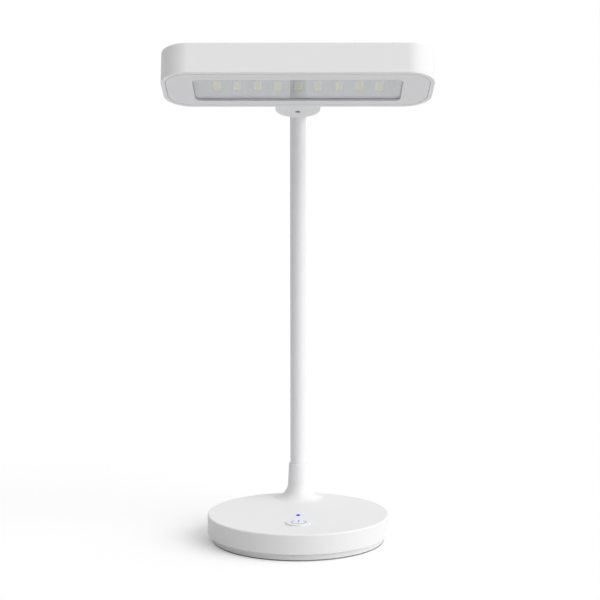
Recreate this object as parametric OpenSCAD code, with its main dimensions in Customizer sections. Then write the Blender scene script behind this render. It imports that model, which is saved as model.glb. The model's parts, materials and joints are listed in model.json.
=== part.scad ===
// Desk lamp: round weighted base, thin pole at its rear, tilting light bar
// Millimetres, +Z up. Origin on the desk, under the middle of the base; the light bar reaches towards -Y.

/* [Base] */
// Diameter of the base shell
base_d = 132; // [124:1:150]
// Height of the base shell, without the foot
shell_h = 13.1; // [12.5:0.1:18]
// Side wall of the base shell
base_wall = 2; // [1.6:0.1:2.6]
// Top wall of the base shell
base_roof = 2.2; // [1.8:0.1:2.6]
// Rounding of the shell's top edge
base_edge = 1.1; // [0.8:0.1:2]
// Rounding of the shell's bottom edge
base_lip = 0.3; // [0.2:0.1:0.9]
// How far the foot stands in from the shell's side
foot_inset = 2.4; // [2.2:0.1:6]
// Height of the foot that shows under the shell
foot_h = 4.7; // [4.4:0.1:7]
// Floor and rim thickness of the base plate
plate_t = 1.9; // [1.6:0.1:2.4]
// Height of the plate's flange inside the shell
flange_h = 2; // [1:0.1:2.4]
// Thickness of the rubber ring
pad_t = 1; // [0.9:0.1:1.6]
// Depth of the groove that the rubber ring sits in
pad_sink = 0.5; // [0.3:0.1:0.6]
// Distance of the rubber ring from the foot's edge
pad_inset = 3.1; // [1:0.1:4]
// Width of the rubber ring
pad_w = 12.5; // [11:0.5:15]
// Diameter of the steel ballast
ballast_d = 98; // [80:1:110]
// Thickness of the steel ballast
ballast_t = 4.8; // [3:0.1:4.8]

/* [Base screws] */
// Radius of the circle that the screws stand on
screw_ring = 56; // [55.5:0.1:56.5]
// Number of base screws
screw_n = 4; // [3:1:4]
// Shank diameter
screw_d = 3; // [2.5:0.1:3]
// Head diameter
screw_head_d = 5.6; // [5:0.1:5.8]
// Head height
screw_head_h = 2; // [1.6:0.1:2.2]
// Length of thread in the shell's post
screw_bite = 5; // [4:0.1:5.5]
// Outer diameter of the screw posts
post_d = 8; // [7.6:0.1:8.4]
// Height of the joint between the plate's column and the shell's post, above the plate's floor
column_h = 6.6; // [6:0.1:7]

/* [Button and light] */
// Button diameter
button_d = 18.2; // [16:0.2:22]
// Distance of the button in front of the base's middle
button_front = 32.2; // [28:0.1:33]
// How far the button stands above the base
button_proud = 0.9; // [0.8:0.1:1.4]
// Button travel
button_travel = 0.6; // [0.3:0.1:0.7]
// Gap around the button
button_gap = 0.3; // [0.2:0.05:0.5]
// Rounding of the button's edge
button_edge = 0.5; // [0.3:0.1:0.7]
// Width of the flange that keeps the button in
button_flange = 1.6; // [1:0.1:2.4]
// Thickness of that flange
flange_t = 1.1; // [0.8:0.1:1.3]
// Length of the button's stem under its flange
stem_h = 0.7; // [0.5:0.1:0.9]
// Switch body, square
switch_w = 6.2; // [5:0.1:8]
// Height of the switch body
switch_h = 2.2; // [2:0.1:2.3]
// Plunger diameter
plunger_d = 3.5; // [2.6:0.1:3.8]
// Running clearance of the plunger, on the radius
plunger_clear = 0.1; // [0.05:0.01:0.15]
// Indicator light diameter
dot_d = 2; // [1.8:0.1:3.5]
// How far the indicator stands above the base, with a round edge
dot_rise = 0.4; // [0.2:0.1:0.5]
// Distance of the indicator in front of the base's middle
dot_front = 7.9; // [6:0.1:9]
// Gap around the indicator
dot_gap = 0.1; // [0.05:0.01:0.2]

/* [Inner pieces] */
// Circuit board thickness
pcb_t = 1.6; // [1:0.1:1.8]
// Width of the control board
pcb_w = 34; // [32:1:44]
// Margin of the control board past the button and the indicator
pcb_margin = 4; // [3.5:0.1:5]
// Diameter of the moulded pins that carry the boards
pin_post_d = 3; // [2.4:0.1:3.6]
// Battery cell
cell = [56, 32, 6]; // [20:1:60]
// Distance of the cell's middle behind the base's middle
cell_back = 16.5; // [16:0.5:17]
// Charging socket: width, depth, height
usb = [9, 7.4, 3.2]; // [3:0.1:10]
// Shell of the charging socket
usb_wall = 0.35; // [0.25:0.05:0.5]
// Gap around the charging socket
usb_gap = 0.25; // [0.15:0.05:0.4]
// Direction of the charging socket, from +X towards the rear
usb_angle = 112; // [108:1:114]
// Charging board: width and depth
usb_pcb = [16, 14]; // [12:1:18]

/* [Pole and neck] */
// Distance of the pole's axis from the base's rear edge
pole_inset = 18; // [17:0.5:20]
// Pole diameter
pole_d = 12; // [10:0.5:13]
// Pole wall
pole_wall = 1; // [0.8:0.1:1.4]
// Length of the tube
pole_len = 291; // [200:1:400]
// Fit of the tube in the neck, on the radius
pole_clear = 0.05; // [0.02:0.01:0.1]
// Wall of the neck at its top
neck_wall = 0.7; // [0.6:0.1:1.5]
// How much the neck widens on each side, down to the base
neck_taper = 1.2; // [0.6:0.1:2]
// Height of the neck above the base
neck_h = 27.6; // [20:0.1:40]
// Radius of the flare at the neck's foot
neck_flare = 12; // [8:0.5:13]
// How far the flare's arc dips into the base, so that its foot ends in a line
neck_dip = 0.15; // [0.1:0.01:0.3]
// Rounding of the neck's top edge
neck_edge = 0.3; // [0.2:0.1:0.5]
// Thickness of the web that the tube stands on
web_t = 3.2; // [2.6:0.1:3.4]
// How far the tube reaches into the base under the shell's top
seat_drop = 1.8; // [1.4:0.1:2]
// Threaded nipple diameter
nipple_d = 8; // [7:0.5:8]
// Bore of the nipple
nipple_bore = 4; // [3.6:0.1:4.4]
// Length of the nipple inside the tube
nipple_grip = 14; // [10:1:20]
// Clearance of the nipple in the web, on the radius
nipple_clear = 0.1; // [0.05:0.05:0.2]
// Washer thickness
washer_t = 1; // [0.8:0.1:1.2]
// Washer diameter
washer_d = 16; // [14:0.5:17]
// Nut, across its flats
nut_af = 13; // [12:0.5:13]
// Nut height
nut_h = 3.4; // [3:0.1:3.6]
// Lead diameter
lead_d = 3.2; // [2.4:0.1:3.4]

/* [Hinge] */
// Height of the hinge axis above the tube's end
hinge_rise = 7.1; // [6.6:0.1:12]
// Depth of the knuckle's plug in the tube
plug_len = 18; // [12:1:26]
// Diameter of the knuckle and of the lugs beside it
lug_d = 11; // [9:0.5:11]
// Thickness of each lug
lug_t = 3.5; // [3:0.1:5]
// Friction washer thickness
friction_t = 0.8; // [0.5:0.1:1.2]
// Friction washer diameter
friction_d = 9; // [7:0.5:9]
// Hinge pin diameter
hinge_d = 4; // [3:0.1:5]
// Running clearance of the pin in the knuckle, on the radius
hinge_clear = 0.05; // [0.02:0.01:0.09]
// How far the pin's ends lie under the lugs' faces
pin_sink = 0.4; // [0.2:0.1:0.8]
// Tilt of the light bar as photographed, front edge up
head_tilt = 19; // [0:1:30]
// Distance of the hinge axis behind the light bar
hinge_back = 38.6; // [38:0.1:46]
// Height of the hinge axis above the light bar's underside
hinge_up = 14.9; // [13:0.1:14.9]

/* [Light bar] */
// Width of the light bar
head_w = 188.8; // [170:0.2:260]
// Depth of the light bar
head_d = 61.7; // [58:0.1:80]
// Height of the light bar
head_h = 21.9; // [20.5:0.1:28]
// Corner radius seen from above
head_r = 19.8; // [12:0.2:24]
// Rounding of the top edge
head_edge = 0.5; // [0.3:0.1:1.6]
// Wall of the housing
head_wall = 2.4; // [1.8:0.1:2.8]
// Roof of the housing
head_roof = 2; // [1.6:0.1:2.6]
// Width of the rim that shows around the panel
head_rim = 2.9; // [2.9:0.1:4]
// Width of the groove between rim and panel
groove = 0.7; // [0.4:0.1:1]
// Depth of that groove
groove_t = 0.5; // [0.3:0.1:1.2]
// Width of the ledge that the panel seats on
ledge_w = 2.1; // [1.6:0.1:3]
// Thickness of that ledge
ledge_t = 1.8; // [1.2:0.1:2.4]
// Thickness of the panel
bezel_t = 2.2; // [1.6:0.1:3]

/* [Window and LEDs] */
// Window width
win_w = 145; // [136:1:146]
// Window depth
win_d = 37.4; // [30:0.1:38]
// Distance of the window from the light bar's rear edge
win_back = 11; // [11:0.1:13]
// Corner radius of the window
win_r = 4; // [2:0.5:6]
// Thickness of the clear window
lens_t = 1.2; // [0.8:0.1:2]
// How far the window laps over the panel on each side
lens_lap = 4; // [2:0.5:4]
// Thickness of the white sheet between window and LED board
frame_t = 1; // [0.9:0.1:3]
// Gap around each LED in that sheet
frame_gap = 0.15; // [0.1:0.05:0.4]
// Gap between the window and the LEDs
led_gap = 0.2; // [0.1:0.05:0.4]
// Number of LEDs
led_n = 9; // [3:2:9]
// Distance between LEDs
led_pitch = 14; // [9:0.5:15]
// Distance of the LEDs in front of the window's middle
led_front = 1.4; // [0:0.1:3]
// LED package width and length
led = [5.4, 15.4]; // [3:0.1:20]
// Rim of the LED package around its phosphor
led_rim = 0.95; // [0.5:0.05:1.2]
// Depth of the phosphor
phosphor_t = 0.5; // [0.3:0.1:0.7]
// Diameter of the moulded posts that hold the LED board
stud_d = 5; // [4:0.5:7]

/* [Ear] */
// Width of the ear that carries the hinge
ear_w = 32.8; // [28:0.2:34]
// Length of the ear behind the light bar
ear_len = 28.7; // [26:0.1:29]
// Height of the ear's lower face above the light bar's underside
ear_lift = 3; // [2:0.1:4]
// Height of the ear with its cover
ear_h = 10; // [9:0.1:12]
// Cover thickness
cover_t = 3; // [2.6:0.1:3.4]
// Wall around the ear's lead channel
ear_wall = 2; // [1.6:0.1:3]
// Distance of the cover screw behind the light bar
ear_screw_back = 17.6; // [17:0.1:18.5]
// Diameter of the hole that shows in the cover
ear_hole_d = 3.6; // [3.2:0.1:4.2]
// Depth of the screw's head in that hole
ear_screw_sink = 0.8; // [0.4:0.1:1.2]
// Head height of the cover screw
ear_head_h = 1; // [0.6:0.1:1.2]
// Shank diameter of the cover screw
ear_shank_d = 2; // [1.6:0.1:2.4]
// Length of the cover screw's thread in the ear
ear_bite = 4; // [2.5:0.1:4.5]

/* [Hidden] */
$fn = 96;

cut = 1;                                    // how far a cutting solid runs past a face
base_r = base_d / 2;
foot_r = base_r - foot_inset;
plate_z = pad_t - pad_sink;                 // underside of the base plate
shell_z = plate_z + foot_h;                 // underside of the shell
top_z = shell_z + shell_h;                  // top of the base
ceil_z = top_z - base_roof;                 // inside of that top
cavity_r = base_r - base_wall;
floor_z = plate_z + plate_t;                // inside of the base plate
ballast_z = floor_z + ballast_t;
plate_gap = 0.2;                            // plate flange to shell wall, rubber ring to its groove
pad_r = foot_r - pad_inset;
post_gap = 0.5;                             // ballast to the screw columns
screw_land = 4;                             // column above the screws' heads
column_z = floor_z + column_h;
screw_seat_z = column_z - screw_land;       // where the screws' heads bear
screw_hole_gap = 0.1;

button_y = -button_front;
dot_y = -dot_front;
button_r = button_d / 2;
flange_z = ceil_z - flange_t;
stem_z = flange_z - stem_h;
switch_gap = 0.2;                           // what the travel leaves free
plunger_in = 1.1;                           // plunger in the switch, past the travel
stem_rim = 0.8;                             // stem past the plunger
switch_z = stem_z - button_travel - switch_gap - switch_h;    // top of the control board
board_z = switch_z - pcb_t;
plunger_z = stem_z - button_travel - plunger_in;
pcb_front = button_y - button_r - button_flange - pcb_margin;
pcb_rear = dot_y + pcb_margin;
smd = [2, 1.2, 0.8];
pin_inset = 2;                              // moulded pins from the boards' edges
cell_r = 2;

usb_lift = 1.2;                             // charging board above the ballast
usb_sink = 0.5;                             // socket's mouth under the base's side
usb_set = 1.5;                              // charging board from the base's wall
usb_round = usb[2] / 2 - 0.1;
usb_z = ballast_z + pcb_t + usb_lift;       // underside of the charging socket
usb_r = base_r - usb_sink;                  // distance of its mouth from the middle

pole_y = base_r - pole_inset;
pole_r = pole_d / 2;
bore_r = pole_r - pole_wall;
seat_z = top_z - seat_drop;                 // where the tube stands
web_z = seat_z - web_t;
hub_rim = 1;                                // hub past the washer
notch_gap = 3;                              // ballast past the washer
nipple_end = 0.5;                           // nipple under the nut
hub_r = washer_d / 2 + hub_rim;
pole_z = seat_z + pole_len;                 // end of the tube
neck_z = top_z + neck_h;
neck_r = pole_r + neck_wall;
nut_z = web_z - washer_t - nut_h;
nipple_z = nut_z - nipple_end;
notch_r = washer_d / 2 + notch_gap;

hinge_z = pole_z + hinge_rise;
lug_r = lug_d / 2;
lug_x = pole_r + friction_t;                // inner face of each lug
head_in = head_rim + groove;                // panel face from the outside of the light bar
bezel_gap = 0.15;                           // panel flange to the rim
bezel_in = head_rim + bezel_gap;
ledge_in = head_rim + ledge_w;
lens_z = bezel_t;
frame_z = lens_z + lens_t;
led_z = frame_z + led_gap;
led_board_z = frame_z + frame_t;
stud_z = led_board_z + pcb_t;
head_ceil = head_h - head_roof;
win_y = -win_back - win_d / 2;
led_y = win_y - led_front;
ear_r = ear_w / 2;
ear_top = ear_lift + ear_h;
cover_z = ear_lift + cover_t;
ear_seat_z = ear_lift + ear_screw_sink + ear_head_h;
channel_in = 1.2;                           // lead channel from the lugs' inner faces
channel_w = 2 * (lug_x - channel_in);
ear_fit = 0.2;                              // cover screw in its holes, on the diameter
ear_boss_d = 3 * ear_shank_d;

// Rounded rectangle, centred
module rrect(w, d, r) {
    square([w - 2 * r, d], center = true);
    square([w, d - 2 * r], center = true);
    for (x = [-1, 1], y = [-1, 1])
        translate([x * (w / 2 - r), y * (d / 2 - r)]) circle(r);
}

// Half section of a block with a rounded outer top edge
module edge_half(len, h, f) {
    square([len - f, h]);
    square([len, h - f]);
    translate([len - f, h - f]) circle(f);
}

// Block with rounded corners and a rounded top edge
module slab(w, d, h, r, f) {
    rotate([90, 0, 90]) linear_extrude(w - 2 * r, center = true) {
        edge_half(d / 2, h, f);
        mirror([1, 0]) edge_half(d / 2, h, f);
    }
    for (a = [0, 180]) rotate([0, 0, a]) {
        translate([w / 2 - r, 0, 0]) rotate([90, 0, 0])
            linear_extrude(d - 2 * r, center = true) edge_half(r, h, f);
        for (s = [0, 1]) mirror([0, s, 0])
            translate([w / 2 - r, d / 2 - r, 0]) rotate_extrude(angle = 90) edge_half(r, h, f);
    }
}

// Stands a child at each base screw
module at_screws() {
    for (i = [0 : screw_n - 1]) rotate([0, 0, (i + 0.5) * 360 / screw_n])
        translate([screw_ring, 0, 0]) children();
}

// Stands a child at the charging socket: +Y runs out of the base
module at_usb() {
    rotate([0, 0, usb_angle - 90]) translate([0, usb_r, 0]) children();
}

// Puts the light bar's own frame, at the middle of its rear lower edge, on the hinge
module at_head() {
    translate([0, pole_y, hinge_z]) rotate([-head_tilt, 0, 0]) translate([0, -hinge_back, -hinge_up])
        children();
}

// Section of the base shell
module shell_section() {
    difference() {
        union() {
            translate([0, shell_z]) square([base_r - base_lip, shell_h - base_edge]);
            translate([0, shell_z + base_lip]) square([base_r, shell_h - base_edge - base_lip]);
            translate([0, shell_z]) square([base_r - base_edge, shell_h]);
            translate([base_r - base_edge, top_z - base_edge]) circle(base_edge);
            translate([base_r - base_lip, shell_z + base_lip]) circle(base_lip);
        }
        translate([0, shell_z - cut]) square([cavity_r, shell_h - base_roof + cut]);
    }
}

// Section of the neck: a slight taper that runs into a flare
module neck_section() {
    lean = atan(neck_taper / neck_h);
    arc_z = top_z + neck_flare - neck_dip;
    arc_r = neck_r + neck_taper * (neck_z - arc_z) / neck_h + neck_flare / cos(lean);
    touch = [arc_r - neck_flare * cos(lean), arc_z - neck_flare * sin(lean)];
    difference() {
        union() {
            polygon([[0, ceil_z], [arc_r, ceil_z], [arc_r, touch[1]], touch,
                [neck_r, neck_z - neck_edge], [neck_r - neck_edge, neck_z], [0, neck_z]]);
            translate([neck_r - neck_edge, neck_z - neck_edge]) circle(neck_edge);
        }
        translate([arc_r, arc_z]) circle(neck_flare);
        translate([arc_r - neck_flare, top_z + neck_flare]) square(neck_flare);
    }
}

// Post from the base's top down to a height
module hanger(z, d) {
    translate([0, 0, z]) cylinder(d = d, h = ceil_z - z + base_roof / 2);
}

module base_body() {
    color("white") difference() {
        union() {
            rotate_extrude() shell_section();
            intersection() {
                translate([0, pole_y, 0]) rotate_extrude() neck_section();
                cylinder(r = base_r - base_edge, h = neck_z + cut);
            }
            translate([0, pole_y, 0]) hanger(web_z, 2 * hub_r);
            at_screws() hanger(column_z, post_d);
            for (x = [-1, 1], y = [pcb_front + pin_inset, pcb_rear - pin_inset])
                translate([x * (pcb_w / 2 - pin_inset), y, 0]) hanger(switch_z, pin_post_d);
            at_usb() for (x = [-1, 1])
                translate([x * (usb_pcb[0] / 2 - pin_inset), pin_inset - usb_pcb[1], 0])
                    hanger(usb_z, pin_post_d);
        }
        translate([0, pole_y, seat_z]) cylinder(r = pole_r + pole_clear, h = neck_z - seat_z + cut);
        translate([0, pole_y, web_z - cut]) cylinder(r = nipple_d / 2 + nipple_clear, h = web_t + 2 * cut);
        translate([0, button_y, ceil_z - cut])
            cylinder(r = button_r + button_gap, h = base_roof + 2 * cut);
        translate([0, dot_y, ceil_z - cut])
            cylinder(r = dot_d / 2 + dot_gap, h = base_roof + 2 * cut);
        at_screws() translate([0, 0, column_z - cut]) cylinder(d = screw_d, h = screw_bite + cut);
        at_usb() translate([0, -base_wall - cut, usb_z + usb[2] / 2]) rotate([-90, 0, 0])
            linear_extrude(base_wall + 3 * cut)
                rrect(usb[0] + 2 * usb_gap, usb[2] + 2 * usb_gap, usb_round);
    }
}

module base_plate() {
    color("whitesmoke") difference() {
        union() {
            difference() {
                union() {
                    translate([0, 0, plate_z]) cylinder(r = foot_r, h = foot_h);
                    translate([0, 0, shell_z]) cylinder(r = cavity_r - plate_gap, h = flange_h);
                }
                translate([0, 0, floor_z]) cylinder(r = foot_r - plate_t, h = shell_z + flange_h);
            }
            at_screws() translate([0, 0, floor_z - plate_t / 2])
                cylinder(d = post_d, h = column_h + plate_t / 2);
        }
        at_screws() translate([0, 0, plate_z - cut]) {
            cylinder(d = screw_d + 2 * screw_hole_gap, h = shell_h + foot_h);
            cylinder(d = screw_head_d + 2 * screw_hole_gap, h = screw_seat_z - plate_z + cut);
        }
        translate([0, 0, -cut]) ring(pad_r + plate_gap, pad_w + 2 * plate_gap, pad_t + cut);
    }
}

// Flat ring, by its outer radius and its width
module ring(r, w, h) {
    difference() {
        cylinder(r = r, h = h);
        translate([0, 0, -cut]) cylinder(r = r - w, h = h + 2 * cut);
    }
}

module foot_pad() {
    color("dimgray") ring(pad_r, pad_w, pad_t);
}

module ballast() {
    color("slategray") difference() {
        translate([0, 0, floor_z]) cylinder(d = ballast_d, h = ballast_t);
        translate([0, pole_y, floor_z - cut]) cylinder(r = notch_r, h = ballast_t + 2 * cut);
        at_screws() translate([0, 0, floor_z - cut])
            cylinder(d = post_d + 2 * post_gap, h = ballast_t + 2 * cut);
    }
}

module base_screws() {
    color("silver") at_screws() {
        translate([0, 0, screw_seat_z - screw_head_h]) cylinder(d = screw_head_d, h = screw_head_h);
        translate([0, 0, screw_seat_z - screw_head_h / 2])
            cylinder(d = screw_d, h = column_z + screw_bite - screw_seat_z + screw_head_h / 2);
    }
}

module battery() {
    color("lightsteelblue") translate([0, cell_back, ballast_z]) linear_extrude(cell[2])
        rrect(cell[0], cell[1], cell_r);
}

module control_board() {
    color("darkgreen") translate([-pcb_w / 2, pcb_front, board_z])
        cube([pcb_w, pcb_rear - pcb_front, pcb_t]);
}

module tact_switch() {
    color("dimgray") difference() {
        translate([-switch_w / 2, button_y - switch_w / 2, switch_z])
            cube([switch_w, switch_w, switch_h]);
        translate([0, button_y, plunger_z - button_travel - switch_gap])
            cylinder(d = plunger_d + 2 * plunger_clear, h = switch_h + 2 * cut);
    }
}

module switch_plunger() {
    color("black") translate([0, button_y, plunger_z])
        cylinder(d = plunger_d, h = stem_z - plunger_z);
}

module power_button() {
    cap_top = top_z + button_proud;
    color("gainsboro") translate([0, button_y, 0]) rotate_extrude() {
        translate([0, flange_z]) edge_half(button_r, cap_top - flange_z, button_edge);
        translate([0, flange_z]) square([button_r + button_flange, flange_t]);
        translate([0, stem_z]) square([plunger_d / 2 + stem_rim, stem_h + flange_t / 2]);
    }
}

module indicator_led() {
    color("ivory") translate([-smd[0] / 2, dot_y - smd[1] / 2, switch_z]) cube(smd);
}

module indicator_lens() {
    color("royalblue") translate([0, dot_y, switch_z + smd[2]]) rotate_extrude()
        edge_half(dot_d / 2, top_z + dot_rise - switch_z - smd[2], dot_rise);
}

module usb_board() {
    color("darkgreen") at_usb() translate([-usb_pcb[0] / 2, -usb_pcb[1], usb_z - pcb_t])
        cube([usb_pcb[0], usb_pcb[1] - base_wall - usb_set, pcb_t]);
}

module usb_socket() {
    color("silver") at_usb() translate([0, 0, usb_z + usb[2] / 2]) rotate([90, 0, 0]) difference() {
        linear_extrude(usb[1]) rrect(usb[0], usb[2], usb_round);
        translate([0, 0, -cut]) linear_extrude(usb[1] + cut - usb_wall)
            rrect(usb[0] - 2 * usb_wall, usb[2] - 2 * usb_wall, usb_round - usb_wall);
    }
}

module pole() {
    color("white") translate([0, pole_y, seat_z]) difference() {
        cylinder(r = pole_r, h = pole_len);
        translate([0, 0, -cut]) cylinder(r = bore_r, h = pole_len + 2 * cut);
    }
}

module pole_nipple() {
    color("goldenrod") translate([0, pole_y, 0]) difference() {
        union() {
            translate([0, 0, nipple_z]) cylinder(d = nipple_d, h = seat_z - nipple_z);
            translate([0, 0, seat_z]) cylinder(r = bore_r, h = nipple_grip);
        }
        translate([0, 0, nipple_z - cut])
            cylinder(d = nipple_bore, h = seat_z - nipple_z + nipple_grip + 2 * cut);
    }
}

module pole_washer() {
    color("silver") translate([0, pole_y, web_z - washer_t]) difference() {
        cylinder(d = washer_d, h = washer_t);
        translate([0, 0, -cut]) cylinder(r = nipple_d / 2 + nipple_clear, h = washer_t + 2 * cut);
    }
}

module pole_nut() {
    color("goldenrod") translate([0, pole_y, nut_z]) difference() {
        cylinder(d = nut_af / cos(30), h = nut_h, $fn = 6);
        translate([0, 0, -cut]) cylinder(d = nipple_d, h = nut_h + 2 * cut);
    }
}

module lead_wire() {
    color("gray") translate([0, pole_y, floor_z]) cylinder(d = lead_d, h = pole_z - floor_z);
}

module hinge_knuckle() {
    color("white") translate([0, pole_y, 0]) difference() {
        union() {
            translate([0, 0, pole_z - plug_len]) cylinder(r = bore_r, h = plug_len);
            translate([0, 0, pole_z]) cylinder(r = pole_r, h = hinge_rise);
            translate([-pole_r, 0, hinge_z]) rotate([0, 90, 0]) cylinder(r = lug_r, h = pole_d);
        }
        translate([-pole_r - cut, 0, hinge_z]) rotate([0, 90, 0])
            cylinder(d = hinge_d + 2 * hinge_clear, h = pole_d + 2 * cut);
        translate([0, 0, pole_z - plug_len - cut]) cylinder(d = nipple_bore, h = plug_len + cut);
    }
}

module hinge_pin() {
    pin_len = 2 * (lug_x + lug_t - pin_sink);
    color("silver") translate([-pin_len / 2, pole_y, hinge_z]) rotate([0, 90, 0])
        cylinder(d = hinge_d, h = pin_len);
}

module hinge_washers() {
    color("dimgray") for (s = [0, 1]) mirror([s, 0, 0])
        translate([pole_r, pole_y, hinge_z]) rotate([0, 90, 0]) difference() {
            cylinder(d = friction_d, h = friction_t);
            translate([0, 0, -cut]) cylinder(d = hinge_d, h = friction_t + 2 * cut);
        }
}

// Plan of the ear: straight sides and a round end
module ear_plan(start) {
    translate([-ear_r, start]) square([ear_w, ear_len - ear_r - start]);
    intersection() {
        translate([0, ear_len - ear_r]) circle(ear_r);
        translate([-ear_r, ear_len - ear_r]) square([ear_w, ear_r]);
    }
}

// Plan of the light bar, taken in from its sides
module head_plan(in) {
    rrect(head_w - 2 * in, head_d - 2 * in, head_r - in);
}

module head_shell() {
    color("white") at_head() difference() {
        union() {
            difference() {
                translate([0, -head_d / 2, 0]) slab(head_w, head_d, head_h, head_r, head_edge);
                translate([0, -head_d / 2, 0]) {
                    translate([0, 0, -cut]) linear_extrude(bezel_t + cut) head_plan(head_rim);
                    linear_extrude(bezel_t + ledge_t + cut) head_plan(ledge_in);
                    translate([0, 0, bezel_t + ledge_t]) linear_extrude(head_ceil - bezel_t - ledge_t)
                        head_plan(head_wall);
                }
            }
            translate([0, 0, cover_z]) linear_extrude(ear_top - cover_z) ear_plan(-head_wall / 2);
            for (s = [0, 1]) mirror([s, 0, 0]) translate([lug_x, 0, 0]) {
                translate([0, -head_wall / 2, hinge_up - lug_r])
                    cube([lug_t, hinge_back + head_wall / 2, lug_d]);
                translate([0, hinge_back, hinge_up]) rotate([0, 90, 0]) cylinder(r = lug_r, h = lug_t);
            }
            for (x = [-1, 0, 1], y = [-1, 1])
                translate([x * (win_w / 2 - stud_d), win_y + y * (win_d / 2 - stud_d), stud_z])
                    cylinder(d = stud_d, h = head_ceil - stud_z + head_roof / 2);
        }
        difference() {
            translate([-channel_w / 2, -head_wall - cut, cover_z - cut])
                cube([channel_w, ear_len - 4 * ear_wall + head_wall + cut, ear_h - cover_t - ear_wall + cut]);
            translate([0, ear_screw_back, cover_z - 2 * cut]) cylinder(d = ear_boss_d, h = ear_h);
        }
        translate([0, ear_screw_back, cover_z - cut]) cylinder(d = ear_shank_d, h = ear_bite + cut);
        translate([-lug_x - lug_t - cut, hinge_back, hinge_up]) rotate([0, 90, 0])
            cylinder(d = hinge_d, h = 2 * (lug_x + lug_t + cut));
    }
}

module head_bezel() {
    color("gainsboro") at_head() difference() {
        translate([0, -head_d / 2, 0]) {
            linear_extrude(bezel_t) head_plan(head_in);
            translate([0, 0, groove_t]) linear_extrude(bezel_t - groove_t) head_plan(bezel_in);
        }
        translate([0, win_y, -cut]) linear_extrude(bezel_t + 2 * cut) win_plan(0);
    }
}

// Plan of the window, grown past its edge
module win_plan(out) {
    rrect(win_w + 2 * out, win_d + 2 * out, win_r + out);
}

module lens_plan() {
    win_plan(lens_lap);
}

module window_lens() {
    color("lightcyan", 0.4) at_head() translate([0, win_y, lens_z]) linear_extrude(lens_t) lens_plan();
}

module lens_frame() {
    color("whitesmoke") difference() {
        at_head() translate([0, win_y, frame_z]) linear_extrude(frame_t) lens_plan();
        at_leds() translate([0, 0, frame_z - cut]) linear_extrude(frame_t + 2 * cut)
            square([led[0] + 2 * frame_gap, led[1] + 2 * frame_gap], center = true);
    }
}

module led_board() {
    color("snow") at_head() translate([0, win_y, led_board_z]) linear_extrude(pcb_t) lens_plan();
}

// Stands a child at each LED
module at_leds() {
    at_head() for (i = [0 : led_n - 1])
        translate([(i - (led_n - 1) / 2) * led_pitch, led_y, 0]) children();
}

module led_packages() {
    color("aliceblue") at_leds() difference() {
        translate([-led[0] / 2, -led[1] / 2, led_z]) cube([led[0], led[1], led_board_z - led_z]);
        translate([-led[0] / 2 + led_rim, -led[1] / 2 + led_rim, led_z - cut])
            cube([led[0] - 2 * led_rim, led[1] - 2 * led_rim, phosphor_t + cut]);
    }
}

module led_phosphor() {
    color("khaki") at_leds() translate([-led[0] / 2 + led_rim, -led[1] / 2 + led_rim, led_z])
        cube([led[0] - 2 * led_rim, led[1] - 2 * led_rim, phosphor_t]);
}

module ear_cover() {
    color("white") at_head() difference() {
        translate([0, 0, ear_lift]) linear_extrude(cover_t) ear_plan(0);
        translate([0, ear_screw_back, ear_lift - cut]) {
            cylinder(d = ear_hole_d, h = ear_seat_z - ear_lift + cut);
            cylinder(d = ear_shank_d + ear_fit, h = cover_t + 2 * cut);
        }
    }
}

module ear_screw() {
    color("dimgray") at_head() translate([0, ear_screw_back, ear_seat_z]) {
        translate([0, 0, -ear_head_h]) cylinder(d = ear_hole_d - ear_fit, h = ear_head_h);
        translate([0, 0, -ear_head_h / 2])
            cylinder(d = ear_shank_d, h = cover_z - ear_seat_z + ear_bite + ear_head_h / 2);
    }
}

base_body();
base_plate();
foot_pad();
ballast();
base_screws();
battery();
control_board();
tact_switch();
switch_plunger();
power_button();
indicator_led();
indicator_lens();
usb_board();
usb_socket();
pole();
pole_nipple();
pole_washer();
pole_nut();
lead_wire();
hinge_knuckle();
hinge_pin();
hinge_washers();
head_shell();
head_bezel();
window_lens();
lens_frame();
led_board();
led_packages();
led_phosphor();
ear_cover();
ear_screw();
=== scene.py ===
import json
import math

import bmesh
import bpy
from mathutils import Matrix, Vector


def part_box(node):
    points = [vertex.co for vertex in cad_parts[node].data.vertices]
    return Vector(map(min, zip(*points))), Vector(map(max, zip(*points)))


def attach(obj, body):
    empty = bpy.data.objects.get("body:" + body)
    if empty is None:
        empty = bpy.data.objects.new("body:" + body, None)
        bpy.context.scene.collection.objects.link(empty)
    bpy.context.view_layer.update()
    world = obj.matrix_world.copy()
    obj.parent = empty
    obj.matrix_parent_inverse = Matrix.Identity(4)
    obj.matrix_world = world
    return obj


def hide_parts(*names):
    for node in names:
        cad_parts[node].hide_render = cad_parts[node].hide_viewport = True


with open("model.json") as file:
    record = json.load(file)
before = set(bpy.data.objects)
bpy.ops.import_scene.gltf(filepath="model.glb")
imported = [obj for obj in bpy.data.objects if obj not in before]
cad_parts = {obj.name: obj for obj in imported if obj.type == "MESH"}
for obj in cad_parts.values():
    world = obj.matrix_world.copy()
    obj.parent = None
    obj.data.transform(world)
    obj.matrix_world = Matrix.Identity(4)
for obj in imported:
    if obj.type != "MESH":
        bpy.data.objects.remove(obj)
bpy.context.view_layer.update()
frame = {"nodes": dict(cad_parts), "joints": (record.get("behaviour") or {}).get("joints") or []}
nodes = frame["nodes"]
print("frame loaded,", len(nodes), "CAD nodes")

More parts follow.
